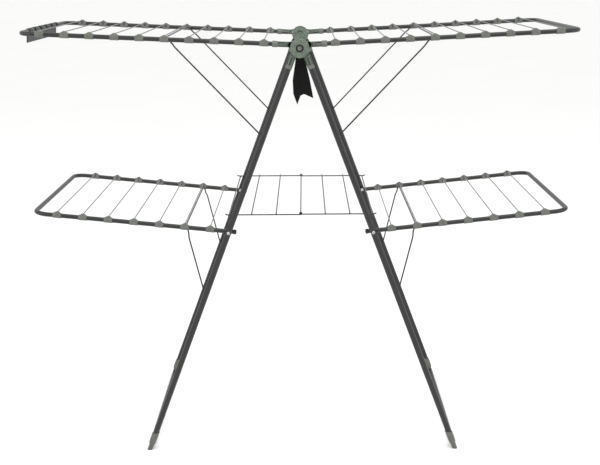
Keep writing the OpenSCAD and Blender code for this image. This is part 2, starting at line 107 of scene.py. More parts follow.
# %% Camera
camera = bpy.data.objects.new("camera", bpy.data.cameras.new("camera"))
bpy.context.scene.collection.objects.link(camera)
camera.data.sensor_width = 36
camera.data.lens = 63.13
pitch, yaw, roll = (math.radians(a) for a in (14.143, -0.256, -0.383))
ahead = Vector((math.sin(yaw) * math.cos(pitch), math.cos(yaw) * math.cos(pitch), -math.sin(pitch)))
right = Vector((math.cos(yaw), -math.sin(yaw), 0))
above = right.cross(ahead)
right, above = (right * math.cos(roll) + above * math.sin(roll),
                above * math.cos(roll) - right * math.sin(roll))
turned = Matrix((right, above, -ahead)).transposed().to_4x4()
camera.matrix_world = Matrix.Translation((0.0099, -3.0269, 1.3212)) @ turned
bpy.context.scene.camera = camera
print("camera:", round(camera.data.lens, 1), "mm lens,", round(math.degrees(pitch), 1), "degrees down")

# %% [markdown]
# ## Helpers
# One function turns an sRGB hex colour to linear. One adds a node with its settings and its
# links, for shaders and Geometry Nodes alike. The last ones finish a piece: they bake its
# place into the mesh, smooth its round stretches and hand it to its body.

# %% Small helpers
def colour(code):
    """Linear colour for a shader from an sRGB hex code."""
    values = [int(code[i:i + 2], 16) / 255 for i in (1, 3, 5)]
    return tuple(v / 12.92 if v < 0.04045 else ((v + 0.055) / 1.055) ** 2.4 for v in values) + (1.0,)


def add(tree, kind, settings=None, links=None):
    """Add a node, with its settings or socket values, and the sockets that feed it."""
    node = tree.nodes.new(kind)
    for key, value in (settings or {}).items():
        if isinstance(key, str) and hasattr(node, key):
            setattr(node, key, value)
        else:
            node.inputs[key].default_value = value
    for key, socket in (links or {}).items():
        tree.links.new(socket, node.inputs[key])
    return node


def new_object(name, mesh):
    piece = bpy.data.objects.new(name, mesh)
    bpy.context.scene.collection.objects.link(piece)
    return piece


def smooth(mesh, degrees=35):
    """Smooth shading, with edges kept sharp above an angle."""
    mesh.shade_smooth()
    mesh.set_sharp_from_angle(angle=math.radians(degrees))


def bake(mesh, place):
    """Move a mesh into its place for good; a mirrored one gets its faces turned round."""
    mesh.transform(place)
    if place.determinant() < 0:
        mesh.flip_normals()
    return mesh


def join(meshes):
    """One mesh out of several, each with its own materials."""
    made = bmesh.new()
    slots = []
    for mesh in meshes:
        first = len(made.faces)
        made.from_mesh(mesh)
        made.faces.ensure_lookup_table()
        for material in mesh.materials:
            if material not in slots:
                slots.append(material)
        places = [slots.index(material) for material in mesh.materials]
        for face in made.faces[first:]:
            face.material_index = places[face.material_index]
    mesh = bpy.data.meshes.new("joined")
    made.to_mesh(mesh)
    made.free()
    for material in slots:
        mesh.materials.append(material)
    return mesh


def paint(mesh, material, wanted):
    """Give another material to the faces whose centre passes a test."""
    mesh.materials.append(material)
    for face in mesh.polygons:
        if wanted(face.center):
            face.material_index = len(mesh.materials) - 1
    return mesh


def finish(name, mesh, body, slot, *nodes):
    """Put a finished piece on its body, in place of its frame nodes."""
    mesh.name = name
    piece = new_object(name, mesh)
    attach(piece, body)
    if nodes:
        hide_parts(*nodes)
    print(name + ":", len(mesh.polygons), "faces, on", body)
    return piece


def mirror(side, end=1):
    """Pieces are drawn for the right rear; -1 mirrors them to the left or the front."""
    return Matrix.Diagonal((side, end, 1, 1))


def at(place, tilt=0.0, side=1, end=1):
    """The place of a piece that is drawn level and tilts up with its wing."""
    return mirror(side, end) @ Matrix.Translation(place) @ Matrix.Rotation(-tilt, 4, "Y")


SIDES = (("right", 1), ("left", -1))
ENDS = (("front", -1), ("rear", 1))

# %% [markdown]
# ## Materials
# Every finish starts from what the real one is. The patterns read Object coordinates, so a
# grain of 1 mm is a noise scale of 1000. Base values sit directly on the shader's sockets.

# %% A material's start: shader, fine grain and faint blotches
def finish_material(name, base, roughness, grain_mm, depth_mm, dark, light, blotch_mm=40, sockets=None):
    """A surface of one colour with a moulded or sprayed grain and a slow change of tone."""
    made = bpy.data.materials.new(name)
    made.use_nodes = True
    tree = made.node_tree
    tree.nodes.clear()
    out = add(tree, "ShaderNodeOutputMaterial")
    shader = add(tree, "ShaderNodeBsdfPrincipled", {"Base Color": colour(base), "Roughness": roughness})
    shader.name = "surface"
    for key, value in (sockets or {}).items():
        shader.inputs[key].default_value = value
    tree.links.new(shader.outputs[0], out.inputs[0])
    where = add(tree, "ShaderNodeTexCoord").outputs["Object"]
    blotch = add(tree, "ShaderNodeTexNoise", {"Scale": 1 / (blotch_mm * MM), "Detail": 3.0},
                 {"Vector": where})
    tone = add(tree, "ShaderNodeMix", {"data_type": "RGBA"}, {0: blotch.outputs[0]})
    tone.inputs[6].default_value, tone.inputs[7].default_value = colour(dark), colour(light)
    tree.links.new(tone.outputs[2], shader.inputs["Base Color"])
    grain = add(tree, "ShaderNodeTexNoise", {"Scale": 1 / (grain_mm * MM), "Detail": 2.0},
                {"Vector": where})
    grain.name = "grain"
    bump = add(tree, "ShaderNodeBump", {"Strength": 0.6, "Distance": depth_mm * MM},
               {"Height": grain.outputs[0]})
    tree.links.new(bump.outputs[0], shader.inputs["Normal"])
    print("finish:", name)
    return made


# %% [markdown]
# ### Powder coat on steel tube
# Powder is sprayed dry and melted, which leaves a satin skin with a faint orange peel. Peel
# is about 1 mm wide on the real tube; it is drawn at 2 mm so that it just shows.

# %% Powder coat
powder_coat = finish_material(
    "powder_coat_charcoal", "#1C1D1D", 0.34, 2.0, 0.03, "#171818", "#222323", 55, {"IOR": 1.46})
coat_nodes = powder_coat.node_tree.nodes
patches = add(powder_coat.node_tree, "ShaderNodeMapRange", {"To Min": 0.3, "To Max": 0.44},
              {"Value": coat_nodes["grain"].outputs[0]})
powder_coat.node_tree.links.new(patches.outputs[0], coat_nodes["surface"].inputs["Roughness"])

wire_coat = finish_material(
    "powder_coat_wire", "#151616", 0.38, 1.2, 0.015, "#111212", "#1A1B1B", 40, {"IOR": 1.46})

# %% [markdown]
# ### Coated line
# The drying lines are steel wire in a light grey PVC jacket, so they are smooth and slightly
# glossy. Handling leaves faint dull patches along them.

# %% Line coat
line_coat = finish_material(
    "pvc_line_coat", "#4C4E4E", 0.35, 3.0, 0.01, "#444646", "#555757", 70, {"IOR": 1.5})

# %% [markdown]
# ### Moulded polypropylene
# Clips, sockets and hubs are moulded in filled polypropylene with a spark-eroded grain of
# about 0.5 mm, drawn at 1 mm. The hub discs also show darker and lighter flecks of filler.

# %% Moulded plastics
def flecks(material, size_mm, share, fleck):
    """Scatter small flecks of another tone over a moulded surface, on top of what it has."""
    tree = material.node_tree
    base = tree.nodes["surface"].inputs["Base Color"]
    below = base.links[0].from_socket
    where = add(tree, "ShaderNodeTexCoord").outputs["Object"]
    cells = add(tree, "ShaderNodeTexVoronoi", {"Scale": 1 / (size_mm * MM)}, {"Vector": where})
    pick = add(tree, "ShaderNodeSeparateColor", None, {0: cells.outputs["Color"]})
    mask = add(tree, "ShaderNodeMapRange", {"From Min": 1 - share - 0.05, "From Max": 1 - share + 0.05},
               {"Value": pick.outputs[0]})
    over = add(tree, "ShaderNodeMix", {"data_type": "RGBA"}, {0: mask.outputs[0], 6: below})
    over.inputs[7].default_value = colour(fleck)
    tree.links.new(over.outputs[2], base)


clip_plastic = finish_material(
    "moulded_polypropylene_grey_green", "#5E625B", 0.52, 1.0, 0.03, "#555953", "#6A6E66", 18, {"IOR": 1.49})
flecks(clip_plastic, 1.6, 0.2, "#494D46")

socket_plastic = finish_material(
    "moulded_socket_green", "#4D584E", 0.5, 1.0, 0.03, "#465147", "#5A655B", 20, {"IOR": 1.49})
flecks(socket_plastic, 1.8, 0.18, "#363F37")

hub_plastic = finish_material(
    "moulded_hub_speckled", "#556154", 0.5, 0.9, 0.03, "#4E5A4D", "#606C5F", 15, {"IOR": 1.49})
flecks(hub_plastic, 1.5, 0.22, "#374136")
flecks(hub_plastic, 1.9, 0.16, "#6F7D6D")

foot_plastic = finish_material(
    "moulded_foot_grey", "#575952", 0.6, 1.0, 0.03, "#4E504A", "#62645C", 15, {"IOR": 1.49})

strip_plastic = finish_material(
    "moulded_strip_dark_green", "#1F2422", 0.5, 1.2, 0.04, "#1A1F1D", "#282E2B", 30, {"IOR": 1.46})

cap_plastic = finish_material(
    "moulded_black_cap", "#151515", 0.45, 0.8, 0.02, "#111111", "#1B1B1B", 10, {"IOR": 1.49})

# Painted shade: a near-black for the clips' slots, the sockets' flutes, the hub grooves and the feet's
# mouths, where shade falls, and for the inner discs' chevrons.
painted_shade_plastic = finish_material(
    "painted_recess_shade", "#151915", 0.7, 1.0, 0.02, "#101410", "#1D211D", 15, {"IOR": 1.49})

# %% [markdown]
# ### Zinc-plated steel
# Rivets and pins are plated, so they are a bright metal with fine tool marks from the
# riveting set. A metal's colour is its reflection, so the base is light.

# %% Zinc plate
zinc = finish_material(
    "zinc_plated_steel", "#A6A8A9", 0.32, 0.6, 0.01, "#9A9C9D", "#B4B6B7", 6, {"Metallic": 1.0})

# %% [markdown]
# ### Woven strap
# The strap is black polyester webbing: threads cross over and under each other. Real threads
# could be modelled, but two crossed wave textures in the bump look the same from here. They
# follow the cloth's own UV map, and are drawn at 1.3 mm, because finer ones would not show.

# %% Webbing
webbing = finish_material(
    "woven_polyester_black", "#060606", 0.85, 1.5, 0.02, "#040404", "#0A0A09", 22,
    {"Specular IOR Level": 0.25, "Sheen Weight": 0.04, "Sheen Roughness": 0.5})
THREAD = 1.3 * MM
cloth_tree = webbing.node_tree
cloth_uv = add(cloth_tree, "ShaderNodeUVMap", {"uv_map": "cloth"}).outputs[0]
threads = []
for direction in ("X", "Y"):
    bands = add(cloth_tree, "ShaderNodeTexWave",
                {"bands_direction": direction, "Scale": 2 / math.tau / THREAD, "Distortion": 0.4},
                {"Vector": cloth_uv})
    threads.append(bands.outputs["Fac"])
crossing = add(cloth_tree, "ShaderNodeMath", {"operation": "MAXIMUM"}, {0: threads[0], 1: threads[1]})
weave = add(cloth_tree, "ShaderNodeBump", {"Strength": 0.9, "Distance": 0.3 * MM},
            {"Height": crossing.outputs[0]})
cloth_tree.links.new(weave.outputs[0], cloth_tree.nodes["surface"].inputs["Normal"])

# %% [markdown]
# ## A bent bar
# Tubes and wires are all one idea: a path of straight stretches with rounded corners, and a
# round section along it. Each could be a curve object, but its corners would then be set by
# hand. The tree takes the corner points as a chain of edges, turns them into a curve, rounds
# its corners with Fillet Curve and sweeps a circle along it.

# %% Bent bar tree
def group(name, inputs):
    tree = bpy.data.node_groups.new(name, "GeometryNodeTree")
    tree.interface.new_socket("Geometry", in_out="INPUT", socket_type="NodeSocketGeometry")
    for label, kind, value in inputs:
        socket = tree.interface.new_socket(label, in_out="INPUT", socket_type="NodeSocket" + kind)
        if value is not None:
            socket.default_value = value
    tree.interface.new_socket("Geometry", in_out="OUTPUT", socket_type="NodeSocketGeometry")
    return tree, add(tree, "NodeGroupInput").outputs


def grow(tree, mesh, **values):
    """Run a tree on a mesh, with its named inputs set, and give back a plain mesh."""
    host = new_object("host", mesh)
    modifier = host.modifiers.new("tree", "NODES")
    modifier.node_group = tree
    wanted = {label.replace("_", " ").capitalize(): value for label, value in values.items()}
    for item in tree.interface.items_tree:
        if item.in_out == "INPUT" and item.name in wanted:
            modifier[item.identifier] = wanted.pop(item.name)
    assert not wanted, wanted
    view = bpy.context.evaluated_depsgraph_get()
    made = bpy.data.meshes.new_from_object(host.evaluated_get(view), depsgraph=view)
    bpy.data.objects.remove(host)
    return made


bar_tree, given = group("bent bar", [("Radius", "Float", 0.002), ("Bend", "Float", 0.01),
                                     ("Sides", "Int", 16), ("Material", "Material", None)])
path = add(bar_tree, "GeometryNodeMeshToCurve", None, {0: given["Geometry"]})
wider = add(bar_tree, "GeometryNodeInputNamedAttribute", {"data_type": "FLOAT", "Name": "wider"})
corner = add(bar_tree, "ShaderNodeMath", {"operation": "ADD"}, {0: given["Bend"], 1: wider.outputs[0]})
rounded = add(bar_tree, "GeometryNodeFilletCurve", {"mode": "POLY", "Limit Radius": True, "Count": 12},
              {"Curve": path.outputs[0], "Radius": corner.outputs[0]})
section = add(bar_tree, "GeometryNodeCurvePrimitiveCircle", None,
              {"Resolution": given["Sides"], "Radius": given["Radius"]})
swept = add(bar_tree, "GeometryNodeCurveToMesh", {"Fill Caps": True},
            {"Curve": rounded.outputs[0], "Profile Curve": section.outputs[0]})
real = add(bar_tree, "GeometryNodeRealizeInstances", None, {0: swept.outputs[0]})
painted = add(bar_tree, "GeometryNodeSetMaterial", None,
              {"Geometry": real.outputs[0], "Material": given["Material"]})
add(bar_tree, "NodeGroupOutput", None, {0: painted.outputs[0]})
print("tree:", bar_tree.name, "of", len(bar_tree.nodes), "nodes")


def bar(points, radius, bend, material, sides=16, wider=None):
    """A swept bar; wider adds to the bend of some corners, by their number."""
    path_mesh = bpy.data.meshes.new("path")
    path_mesh.from_pydata(points, [(i, i + 1) for i in range(len(points) - 1)], [])
    extra = path_mesh.attributes.new("wider", "FLOAT", "POINT")
    for corner_number, value in (wider or {}).items():
        extra.data[corner_number].value = value
    made = grow(bar_tree, path_mesh, radius=radius, bend=bend, sides=sides, material=material)
    smooth(made, 50)
    return made


# %% [markdown]
# ## A row of pieces
# Lines and clips repeat along a wing at an even pitch. A Python loop could copy them, but a
# tree keeps the pitch and the count as its own inputs: Mesh Line sets the points, and one
# piece is put on each of them.

# %% Row tree
row_tree, given = group("row of pieces", [
    ("Piece", "Object", None), ("First", "Float", 0.05), ("Pitch", "Float", 0.06),
    ("Count", "Int", 7), ("Material", "Material", None)])
start = add(row_tree, "ShaderNodeCombineXYZ", None, {0: given["First"]})
step = add(row_tree, "ShaderNodeCombineXYZ", None, {0: given["Pitch"]})
places = add(row_tree, "GeometryNodeMeshLine", {"mode": "OFFSET"},
             {"Count": given["Count"], "Start Location": start.outputs[0], "Offset": step.outputs[0]})
piece_in = add(row_tree, "GeometryNodeObjectInfo", None, {0: given["Piece"]})
copies = add(row_tree, "GeometryNodeInstanceOnPoints", None,
             {"Points": places.outputs[0], "Instance": piece_in.outputs["Geometry"]})
real = add(row_tree, "GeometryNodeRealizeInstances", None, {0: copies.outputs[0]})
painted = add(row_tree, "GeometryNodeSetMaterial", None,
              {"Geometry": real.outputs[0], "Material": given["Material"]})
add(row_tree, "NodeGroupOutput", None, {0: painted.outputs[0]})
print("tree:", row_tree.name, "of", len(row_tree.nodes), "nodes")


def row(mesh, first, spacing, count, material):
    """Copies of a mesh along X, the first one at first."""
    piece = new_object("piece", mesh)
    made = grow(row_tree, bpy.data.meshes.new("row"), piece=piece, first=first, pitch=spacing,
                count=count, material=material)
    bpy.data.objects.remove(piece)
    smooth(made)
    return made


# %% [markdown]
# ## Turned and drawn shapes
# Sleeves, discs and domes are rings of points along an axis. The Screw modifier turns such a
# profile too, but only an even one. This function builds the shell from a list of rings, each
# a distance along the axis and a radius; either may change round the axis, which gives
# oblique mouths and sunk grooves.

# %% Shell of rings
def shell(rings, material, sides=64):
    """Rings run along +Z; each is (z, r), and z or r may be a function of the angle."""
    made = bmesh.new()
    loops = []
    for z, r in rings:
        loop = []
        for i in range(sides):
            a = math.tau * i / sides
            height = z(a) if callable(z) else z
            radius = r(a) if callable(r) else r
            loop.append(made.verts.new((radius * math.cos(a), radius * math.sin(a), height)))
        loops.append(loop)
    for low, high in zip(loops, loops[1:]):
        for i in range(sides):
            j = (i + 1) % sides
            made.faces.new((low[i], low[j], high[j], high[i]))
    made.faces.new(reversed(loops[0]))
    made.faces.new(loops[-1])
    bmesh.ops.recalc_face_normals(made, faces=made.faces)
    mesh = bpy.data.meshes.new("shell")
    made.to_mesh(mesh)
    made.free()
    mesh.materials.append(material)
    smooth(mesh, 30)
    return mesh


def axis_place(origin, direction, up=Vector((0, 1, 0))):
    """Turns +Z to a direction, with +Y kept near up."""
    z = Vector(direction).normalized()
    x = up.cross(z).normalized()
    y = z.cross(x)
    return Matrix.Translation(origin) @ Matrix((x, y, z)).transposed().to_4x4()


def facing_rear(x, y, z):
    """The place of a turned piece whose axis runs from (x, y, z) towards the rear."""
    return axis_place((x, y, z), (0, 1, 0), Vector((0, 0, 1)))


def from_axis(point):
    """Distance of a point from the Z axis."""
    return Vector((point.x, point.y)).length


# %% [markdown]
# ## Legs and bottom tubes
# The legs are plain 16 mm tubes with a 1 mm wall. They could be turned shells with a bore,
# but their ends are hidden in the sockets and feet, so a swept bar with closed ends shows all
# that there is to see.

# %% Legs
SOCKET_COVERS = 30 * MM
FOOT_COVERS = 32 * MM
for side_name, side in SIDES:
    for end_name, end in ENDS:
        rear = Vector((0, LEG_Y, 0))
        mesh = bar([leg_point(SOCKET_COVERS) + rear, leg_point(FOOT_S - FOOT_COVERS) + rear],
                   LEG_R, 0, powder_coat, 40)
        bake(mesh, mirror(side, end))
        node = f"{side_name}_{end_name}_leg"
        finish(node + "_tube", mesh, side_name + "_frame", "powder_coated_tube", node)
    low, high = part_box(side_name + "_bottom_tube")
    middle = Vector(((low[0] + high[0]) / 2, 0, (low[2] + high[2]) / 2))
    mesh = bar([middle + Vector((0, low[1], 0)), middle + Vector((0, high[1], 0))],
               (high[2] - low[2]) / 2, 0, powder_coat, 32)
    finish(side_name + "_floor_bar", mesh, side_name + "_frame", "powder_coated_tube",
           side_name + "_bottom_tube")

# %% [markdown]
# ## Wing tubes
# Each wing is one length of 12 mm tube bent twice, at a 36 mm radius. Two straight tubes and
# a bow could be joined, but the seams would show in the satin highlight. The bar tree rounds
# the two corners from the four corner points, so the tube stays one skin.

# %% Wing tubes
UPPER_START = 16 * MM
LOWER_START = -13 * MM


def wing_tube(start, length, half):
    """A tube drawn as a U, open at the legs, with its long sides at -half and +half."""
    return bar([(start, -half, 0), (length, -half, 0), (length, half, 0), (start, half, 0)],
               WING_R, WING_BEND, powder_coat, 32)


for side_name, side in SIDES:
    mesh = bake(wing_tube(UPPER_START, UPPER_LEN, UPPER_Y), at(WING, UPPER_TILT, side))
    finish(side_name + "_upper_frame", mesh, side_name + "_upper_wing", "powder_coated_tube",
           side_name + "_upper_tube")
    mesh = bake(wing_tube(LOWER_START, LOWER_LEN, LOWER_Y), at(RIVET, LOWER_TILT, side))
    finish(side_name + "_lower_frame", mesh, side_name + "_lower_wing", "powder_coated_tube",
           side_name + "_lower_tube")

# %% [markdown]
# ## Line clips
# A clip is a sleeve on the tube with a saddle on top that rises to a blunt peak, and a slot
# on its inner side that takes the line's end. A sleeve and a box would need a boolean and
# leave a hard join. Here the clip is rounded sections along the tube, and each goes from
# round at the ends to a tall box at the peak.

# %% Clip and line pieces
CLIP_SIDE = 7.3 * MM
CLIP_TOP = WING_R + 5.5 * MM
HALF_STEPS = (0, 1.5, 1.7, 3.4, 4.2, 5.4, 8.2, 10.6, 11.2, 11.5)
CLIP_STEPS = [-x for x in HALF_STEPS[:0:-1]] + list(HALF_STEPS)
LINE_DIP = 7 * MM


def clip_mesh(half):
    """A pair of clips, at +half and -half across the wing."""
    sides = 36
    made = bmesh.new()
    loops = []
    for x in CLIP_STEPS:
        rise = min(1.0, max(0.0, (9.6 - abs(x)) / 7.4)) ** 1.15
        edge = 0.75 if abs(x) > 11.3 else (0.97 if abs(x) > 11 else 1.0)
        loop = []
        for i in range(sides):
            a = math.tau * i / sides
            c, s = math.cos(a), math.sin(a)
            power = 2 / (2 + 5 * rise) if s > 0 else 1
            y = CLIP_SIDE * edge * math.copysign(abs(c) ** power, c)
            z = CLIP_SIDE * edge * s
            if s > 0:
                z = (CLIP_SIDE + (CLIP_TOP - CLIP_SIDE) * rise) * edge * abs(s) ** power
            if abs(x) < 1.6 and y < -4 * MM and z > 2 * MM:
                y += 2.2 * MM
            loop.append(made.verts.new((x * MM, y, z)))
        loops.append(loop)
    for low, high in zip(loops, loops[1:]):
        for i in range(sides):
            j = (i + 1) % sides
            made.faces.new((low[i], low[j], high[j], high[i]))
    made.faces.new(loops[0])
    made.faces.new(loops[-1])
    bmesh.ops.recalc_face_normals(made, faces=made.faces)
    one = bpy.data.meshes.new("clip")
    made.to_mesh(one)
    made.free()
    one.materials.append(clip_plastic)
    other = one.copy()
    bake(one, Matrix.Translation((0, half, 0)))
    bake(other, mirror(1, -1) @ Matrix.Translation((0, half, 0)))
    return join([one, other])


def line_mesh(half):
    """One drying line, its two ends bent down into the clips' slots."""
    inner = half - CLIP_SIDE + 1.6 * MM
    points = [(0, -inner, LINE_H - LINE_DIP), (0, -inner, LINE_H),
              (0, inner, LINE_H), (0, inner, LINE_H - LINE_DIP)]
    return bar(points, LINE_R, 2.2 * MM, line_coat, 12)


def shaded_slot_test(first, spacing, half):
    """Whether a point is in the slot of one of the clips of a wing, where shade is painted."""
    def in_slot(point):
        off_clip = (point.x - first + spacing / 2) % spacing - spacing / 2
        return abs(off_clip) < 1.65 * MM and abs(point.y) < half - 4 * MM and point.z > 1 * MM
    return in_slot


for side_name, side in SIDES:
    for level, pivot, tilt, half, first, spacing, count in (
            ("upper", WING, UPPER_TILT, UPPER_Y, UPPER_FIRST, UPPER_PITCH, UPPER_COUNT),
            ("lower", RIVET, LOWER_TILT, LOWER_Y, LOWER_FIRST, LOWER_PITCH, LOWER_COUNT)):
        body = f"{side_name}_{level}_wing"
        place = at(pivot, tilt, side)
        mesh = row(clip_mesh(half), first, spacing, count, clip_plastic)
        # The clips' slots are painted near-black as shade.
        paint(mesh, painted_shade_plastic, shaded_slot_test(first, spacing, half))
        bake(mesh, place)
        finish(f"{side_name}_{level}_saddles", mesh, body, "green_grey_plastic",
               f"{side_name}_{level}_clips")
        mesh = bake(row(line_mesh(half), first, spacing, count, line_coat), place)
        finish(f"{side_name}_{level}_wires", mesh, body, "coated_line", f"{side_name}_{level}_lines")

# %% [markdown]
# ## Bails
# A bail is one wire: two feet that turn in the legs, two long legs that step inwards below
# the wing tubes, and a cross bar under a drying line. It is one bent bar, with a tight bend
# at the feet and the step, and a wider one where the legs meet the cross bar.

# %% Bails
STEP_START = 34 * MM
STEP_END = 24 * MM
TIGHT_BEND = 4 * MM
CROSS_BEND = 16 * MM
BEHIND_LINE = 3 * MM
BAIL_H = LINE_H - LINE_R - BAIL_R - 0.35 * MM


def bail_mesh(pivot, tip, tube_y):
    """A bail from its pivot in the legs to its cross bar at the tip."""
    reach = tip - pivot
    length = reach.length
    out_y = LEG_Y - LEG_R - BAIL_R - 0.6 * MM
    in_y = tube_y - 7.5 * MM - BAIL_R - 1.2 * MM
    half = [(0, out_y + 6.5 * MM, 0), (0, out_y, 0), (length - STEP_START, out_y, 0),
            (length - STEP_END, in_y, 0), (length, in_y, 0)]
    points = [(x, -y, z) for x, y, z in half] + half[::-1]
    extra = CROSS_BEND - TIGHT_BEND
    mesh = bar(points, BAIL_R, TIGHT_BEND, wire_coat, 14, {4: extra, 5: extra})
    return bake(mesh, at(pivot, math.atan2(reach.z, reach.x)))


def wing_point(pivot, tilt, s, h):
    """A point s along a wing from its pivot and h above its tubes' centre plane."""
    return pivot + Vector((s * math.cos(tilt) - h * math.sin(tilt), 0,
                           s * math.sin(tilt) + h * math.cos(tilt)))


high_tip = wing_point(WING, UPPER_TILT, UPPER_FIRST + 4 * UPPER_PITCH - BEHIND_LINE, BAIL_H)
low_tip = wing_point(RIVET, LOWER_TILT, LOWER_FIRST + LOWER_PITCH - BEHIND_LINE, BAIL_H)
for side_name, side in SIDES:
    for level, pivot, tip, half in (("upper", HIGH_BAIL, high_tip, UPPER_Y),
                                    ("lower", LOW_BAIL, low_tip, LOWER_Y)):
        node = f"{side_name}_{level}_bail"
        mesh = bake(bail_mesh(pivot, tip, half), mirror(side))
        finish(node + "_wire", mesh, node, "dark_wire", node)

# %% [markdown]
# ## Wire shelf
# Each half has two long wires, with cross wires welded on top, and ends at the middle in a
# small coil. A coil is a helix, so a loop works out its turns, and the bar tree sweeps it.
# The halves lie on staples that pass through the legs.

# %% Shelf
CROSS_PITCH = 66 * MM
END_RISE = 3 * MM
HINGE_RISE = 2.2 * MM
EYE_R = 3.1 * MM


def coil_points(x, y, z, radius, turns, width):
    """Points of a coil that starts at (x, y, z) and winds about Y."""
    points = []
    for i in range(int(turns * 14) + 1):
        a = math.tau * i / 14
        points.append((x + radius * math.sin(a), y - width / 2 + width * i / (turns * 14),
                       z + radius - radius * math.cos(a)))
    return points


shelf_top = REST.z + 2 * WIRE_R + 0.02 * MM
cross_top = shelf_top + 2 * WIRE_R - 0.3 * MM
staple_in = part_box("right_shelf_rest")[0][0]
for side_name, side in SIDES:
    low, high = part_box(side_name + "_shelf")
    wire_y = high[1] - WIRE_R - 0.2 * MM
    reach = max(abs(low[0]), abs(high[0]))
    parts = []
    for end in (-1, 1):
        long_wire = [(0, end * wire_y, shelf_top), (reach - 2 * END_RISE, end * wire_y, shelf_top),
                     (reach - WIRE_R, end * wire_y, shelf_top + END_RISE)]
        parts.append(bar(long_wire, WIRE_R, 4 * MM, wire_coat, 12))
    for i in (1, 2):
        x = CROSS_PITCH * i
        cross_wire = [(x, -wire_y - WIRE_R, cross_top), (x, wire_y + WIRE_R, cross_top)]
        parts.append(bar(cross_wire, WIRE_R, 0, wire_coat, 12))
    for end in (-1, 1):
        eye = coil_points(0, end * wire_y, shelf_top - 0.5 * MM, EYE_R, 1.1, 1.2 * MM)
        parts.append(bar(eye, WIRE_R * 0.75, 0, wire_coat, 10))
    if side > 0:
        hinge_wire = [(0, -wire_y, shelf_top + HINGE_RISE), (0, wire_y, shelf_top + HINGE_RISE)]
        parts.append(bar(hinge_wire, WIRE_R, 0, wire_coat, 12))
    mesh = bake(join(parts), mirror(side))
    smooth(mesh, 50)
    finish(side_name + "_shelf_wires", mesh, side_name + "_shelf", "dark_wire", side_name + "_shelf")
    staple = [(staple_in, -LEG_Y, REST.z), (REST.x, -LEG_Y, REST.z),
              (REST.x, LEG_Y, REST.z), (staple_in, LEG_Y, REST.z)]
    mesh = bake(bar(staple, WIRE_R, 5 * MM, wire_coat, 14), mirror(side))
    finish(side_name + "_shelf_staple", mesh, side_name + "_frame", "dark_wire", side_name + "_shelf_rest")

# %% [markdown]
# ## Flat plates
# Every socket has flat plates with round ends that turn on a bolt or a pin. The outline is
# the band round one or two circles. Tangents could be worked out for it, but the smallest
# outline round the circles' points gives the same shape. It is then extruded and bevelled.

# %% Flat plates with round ends
CIRCLE_POINTS = 28


def convex(points):
    """Corners of the smallest outline round some points, in order."""
    points = sorted(set((round(x, 7), round(z, 7)) for x, z in points))

    def half(run):
        kept = []
        for p in run:
            while len(kept) > 1 and ((kept[-1][0] - kept[-2][0]) * (p[1] - kept[-2][1])
                                     - (kept[-1][1] - kept[-2][1]) * (p[0] - kept[-2][0])) <= 0:
                kept.pop()
            kept.append(p)
        return kept[:-1]
    return half(points) + half(points[::-1])


def outline_plate(outline, y0, thick, material, soft=0.7 * MM):
    """A flat plate from its outline in X and Z, with softened rims."""
    made = bmesh.new()
    loop = [made.verts.new((x, y0, z)) for x, z in outline]
    face = made.faces.new(loop)
    moved = bmesh.ops.extrude_face_region(made, geom=[face])
    for v in (g for g in moved["geom"] if isinstance(g, bmesh.types.BMVert)):
        v.co.y += thick
    bmesh.ops.recalc_face_normals(made, faces=made.faces)
    rims = [e for e in made.edges if abs(e.verts[0].co.y - e.verts[1].co.y) < 1e-9]
    bmesh.ops.bevel(made, geom=rims, offset=soft, segments=2, affect="EDGES")
    mesh = bpy.data.meshes.new("plate")
    made.to_mesh(mesh)
    made.free()
    mesh.materials.append(material)
    smooth(mesh, 30)
    return mesh


def plate_mesh(circles, y0, thick, material):
    """The plate round a chain of circles (x, z, r)."""
    points = []
    for x, z, r in circles:
        for i in range(CIRCLE_POINTS):
            a = math.tau * i / CIRCLE_POINTS
            points.append((x + r * math.cos(a), z + r * math.sin(a)))
    return outline_plate(convex(points), y0, thick, material)


print("plates: outlines of", CIRCLE_POINTS, "points a circle")

# %% [markdown]
# ## Leg sockets
# A leg socket is a moulded sleeve with long sunk flutes that end in a plain band, and a plate
# that turns on the hub bolt, with an ear for the upper wing. Booleans could cut the flutes.
# Here the shell's radius dips at each flute, so their edges stay soft as on a moulding.

# %% Leg sockets
SOCKET_START, SOCKET_LEN, SOCKET_R = 24 * MM, 36 * MM, LEG_R + 1.15 * MM
INNER_PLATE, OUTER_PLATE, PLATE = LEG_Y - 7.2 * MM, LEG_Y + 0.2 * MM, 7 * MM
BOLT_EYE_R = 13 * MM
EAR_R = 8 * MM


def fluted(radius, depth, flutes, width, phase=0.0):
    """A radius that dips in a number of long flutes round the axis."""
    def at_angle(a):
        turn = (a - phase) / math.tau * flutes
        off = abs(turn - round(turn)) / flutes * math.tau
        dip = 1 / (1 + (off / width) ** 6)
        return radius - depth * dip
    return at_angle


